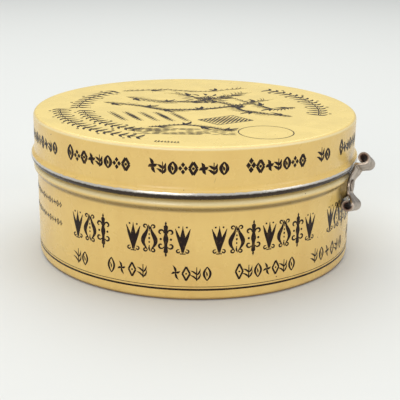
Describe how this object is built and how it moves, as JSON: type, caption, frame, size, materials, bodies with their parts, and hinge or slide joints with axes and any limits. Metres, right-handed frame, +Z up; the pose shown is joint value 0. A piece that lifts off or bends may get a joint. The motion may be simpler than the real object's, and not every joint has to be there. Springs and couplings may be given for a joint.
{
  "type": "shoe polish tin",
  "caption": "Round slip-lid tin of shoe polish with a swaged bead under the lid and a riveted twist key that prises the lid off.",
  "frame": {"origin": "centre of the can's flat bottom", "axes": "+Z up along the tin's axis, +X through the pivot of the key, on the side of the can"},
  "size_m": [0.0945, 0.0902, 0.039],
  "materials": {
    "printed_tinplate": "satin",
    "bare_tinplate": "dull",
    "rivet_steel": "dull",
    "wax_polish": "waxy"
  },
  "bodies": {
    "can": {"base_can": "printed_tinplate", "key_rivet": "rivet_steel", "polish_cake": "wax_polish"},
    "lid": {"lid": "printed_tinplate"},
    "key": {"opener_key": "bare_tinplate"}
  },
  "joints": [
    {"name": "lid_lift", "type": "slide", "parent": "can", "child": "lid", "axis": [0, 0, 1], "range_m": [0, 0.035]},
    {"name": "key_turn", "type": "hinge", "parent": "can", "child": "key", "pos_m": [0.0447, 0, 0.0224], "axis": [1, 0, 0], "range_deg": [-45, 75]}
  ]
}
